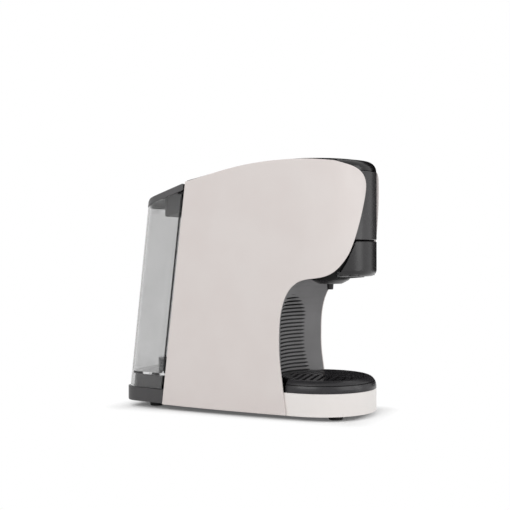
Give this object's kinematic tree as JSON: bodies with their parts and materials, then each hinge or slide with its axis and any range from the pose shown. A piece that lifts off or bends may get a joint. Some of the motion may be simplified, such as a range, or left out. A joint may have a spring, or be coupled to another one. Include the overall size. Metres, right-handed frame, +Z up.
{
  "type": "pod coffee machine",
  "caption": "Round-nosed pod coffee machine with a top lever, pod drawer, ribbed cup bay, lift-off drip tray and lift-off water tank with a hinged lid.",
  "frame": {"origin": "on the floor, under the middle of the footprint", "axes": "+Z up, front of the machine faces -Y, +X to the machine's left as seen from the front of it"},
  "size_m": [0.123, 0.2776, 0.2667],
  "materials": {
    "base_plate": "fine moulded texture",
    "base_skirt": "satin pale warm grey moulding",
    "feet": "soft matte rubber",
    "base_screws": "zinc plated steel",
    "side_panel_left": "satin warm grey with rounded edges",
    "side_panel_right": "satin warm grey with rounded edges",
    "rear_cover": "fine moulded texture",
    "top_cover": "satin charcoal",
    "head_front_cover": "satin charcoal",
    "head_deck": "moulded",
    "head_floor": "moulded",
    "bay_wall": "matte grey with fine level ribs",
    "drip_tray": "satin charcoal",
    "drip_grid": "satin charcoal",
    "chassis": "zinc plated folded sheet",
    "group_bridge": "die cast",
    "bridge_screws": "zinc plated steel",
    "lever": "satin charcoal",
    "lever_pin": "ground steel",
    "lever_cams": "ground steel",
    "brew_piston": "die cast",
    "group_seal": "silicone",
    "shower_screen": "punched steel",
    "piston_springs": "spring wire",
    "drawer_rails": "acetal",
    "pod_drawer": "satin charcoal",
    "pod_cup": "die cast",
    "pod_filter": "punched steel",
    "coffee_dish": "satin charcoal",
    "tank_dock": "moulded",
    "dock_plate": "moulded",
    "dock_seal": "nitrile",
    "cord_gland": "moulded",
    "water_tank": "clear moulded plastic",
    "tank_lid": "satin charcoal",
    "lid_grip_cup": "moulded",
    "lid_pin": "ground steel",
    "tank_valve": "moulded",
    "valve_plunger": "acetal",
    "valve_spring": "spring wire",
    "pump": "moulded case",
    "pump_mounts": "soft rubber",
    "flow_meter": "acetal",
    "thermoblock": "die cast",
    "boiler_feet": "heat proof moulding",
    "suction_hose": "silicone hose",
    "meter_hose": "silicone hose",
    "pump_hose": "silicone hose",
    "brew_hose": "silicone hose",
    "control_board": "solder resist",
    "button_power": "satin",
    "button_short": "satin",
    "button_long": "satin",
    "spring_power": "spring wire",
    "spring_short": "spring wire",
    "spring_long": "spring wire",
    "indicator_lens": "translucent"
  },
  "bodies": {
    "machine": {"base_plate": "base_plate", "base_skirt": "base_skirt", "feet": "feet", "base_screws": "base_screws", "side_panel_left": "side_panel_left", "side_panel_right": "side_panel_right", "rear_cover": "rear_cover", "top_cover": "top_cover", "head_front_cover": "head_front_cover", "head_deck": "head_deck", "head_floor": "head_floor", "bay_wall": "bay_wall", "chassis": "chassis", "group_bridge": "group_bridge", "bridge_screws": "bridge_screws", "lever_pin": "lever_pin", "piston_springs": "piston_springs", "drawer_rails": "drawer_rails", "coffee_dish": "coffee_dish", "tank_dock": "tank_dock", "dock_plate": "dock_plate", "dock_seal": "dock_seal", "cord_gland": "cord_gland", "pump": "pump", "pump_mounts": "pump_mounts", "flow_meter": "flow_meter", "thermoblock": "thermoblock", "boiler_feet": "boiler_feet", "suction_hose": "suction_hose", "meter_hose": "meter_hose", "pump_hose": "pump_hose", "brew_hose": "brew_hose", "control_board": "control_board", "spring_power": "spring_power", "spring_short": "spring_short", "spring_long": "spring_long", "indicator_lens": "indicator_lens"},
    "lever_arm": {"lever": "lever", "lever_cams": "lever_cams"},
    "piston": {"brew_piston": "brew_piston", "group_seal": "group_seal", "shower_screen": "shower_screen"},
    "drawer": {"pod_drawer": "pod_drawer", "pod_cup": "pod_cup", "pod_filter": "pod_filter"},
    "tray": {"drip_tray": "drip_tray"},
    "grid": {"drip_grid": "drip_grid"},
    "tank": {"water_tank": "water_tank", "tank_valve": "tank_valve", "lid_pin": "lid_pin", "valve_spring": "valve_spring"},
    "lid": {"tank_lid": "tank_lid", "lid_grip_cup": "lid_grip_cup"},
    "plunger": {"valve_plunger": "valve_plunger"},
    "power_button": {"button_power": "button_power"},
    "short_button": {"button_short": "button_short"},
    "long_button": {"button_long": "button_long"}
  },
  "joints": [
    {"name": "lever_hinge", "type": "hinge", "parent": "machine", "child": "lever_arm", "pos_m": [0, -0.05565, 0.26025], "axis": [-1, 0, 0], "range_deg": [0, 70]},
    {"name": "piston_slide", "type": "slide", "parent": "machine", "child": "piston", "axis": [0, 0, 1], "range_m": [0, 0.006], "deforming": ["piston_springs"]},
    {"name": "drawer_slide", "type": "slide", "parent": "machine", "child": "drawer", "axis": [0, -1, 0], "range_m": [0, 0.076]},
    {"name": "tray_lift", "type": "slide", "parent": "machine", "child": "tray", "axis": [0, 0, 1], "range_m": [0, 0.04]},
    {"name": "grid_lift", "type": "slide", "parent": "tray", "child": "grid", "axis": [0, 0, 1], "range_m": [0, 0.012]},
    {"name": "tank_lift", "type": "slide", "parent": "machine", "child": "tank", "axis": [0, 0, 1], "range_m": [0, 0.06]},
    {"name": "lid_hinge", "type": "hinge", "parent": "tank", "child": "lid", "pos_m": [0, 0.06, 0.23646], "axis": [1, 0, 0], "range_deg": [0, 80]},
    {"name": "valve_slide", "type": "slide", "parent": "tank", "child": "plunger", "axis": [0, 0, 1], "range_m": [0, 0.003], "stiffness_N_per_m": 120, "springref_m": -0.004, "deforming": ["valve_spring"]},
    {"name": "power_press", "type": "slide", "parent": "machine", "child": "power_button", "axis": [0, 0, -1], "range_m": [0, 0.002], "stiffness_N_per_m": 300, "springref_m": -0.003, "deforming": ["spring_power"]},
    {"name": "short_press", "type": "slide", "parent": "machine", "child": "short_button", "axis": [0, 0, -1], "range_m": [0, 0.002], "stiffness_N_per_m": 300, "springref_m": -0.003, "deforming": ["spring_short"]},
    {"name": "long_press", "type": "slide", "parent": "machine", "child": "long_button", "axis": [0, 0, -1], "range_m": [0, 0.002], "stiffness_N_per_m": 300, "springref_m": -0.003, "deforming": ["spring_long"]}
  ],
  "couplings": [
    {"joint": "lever_hinge", "follows": "piston_slide", "rad_per_m": 203.62}
  ]
}
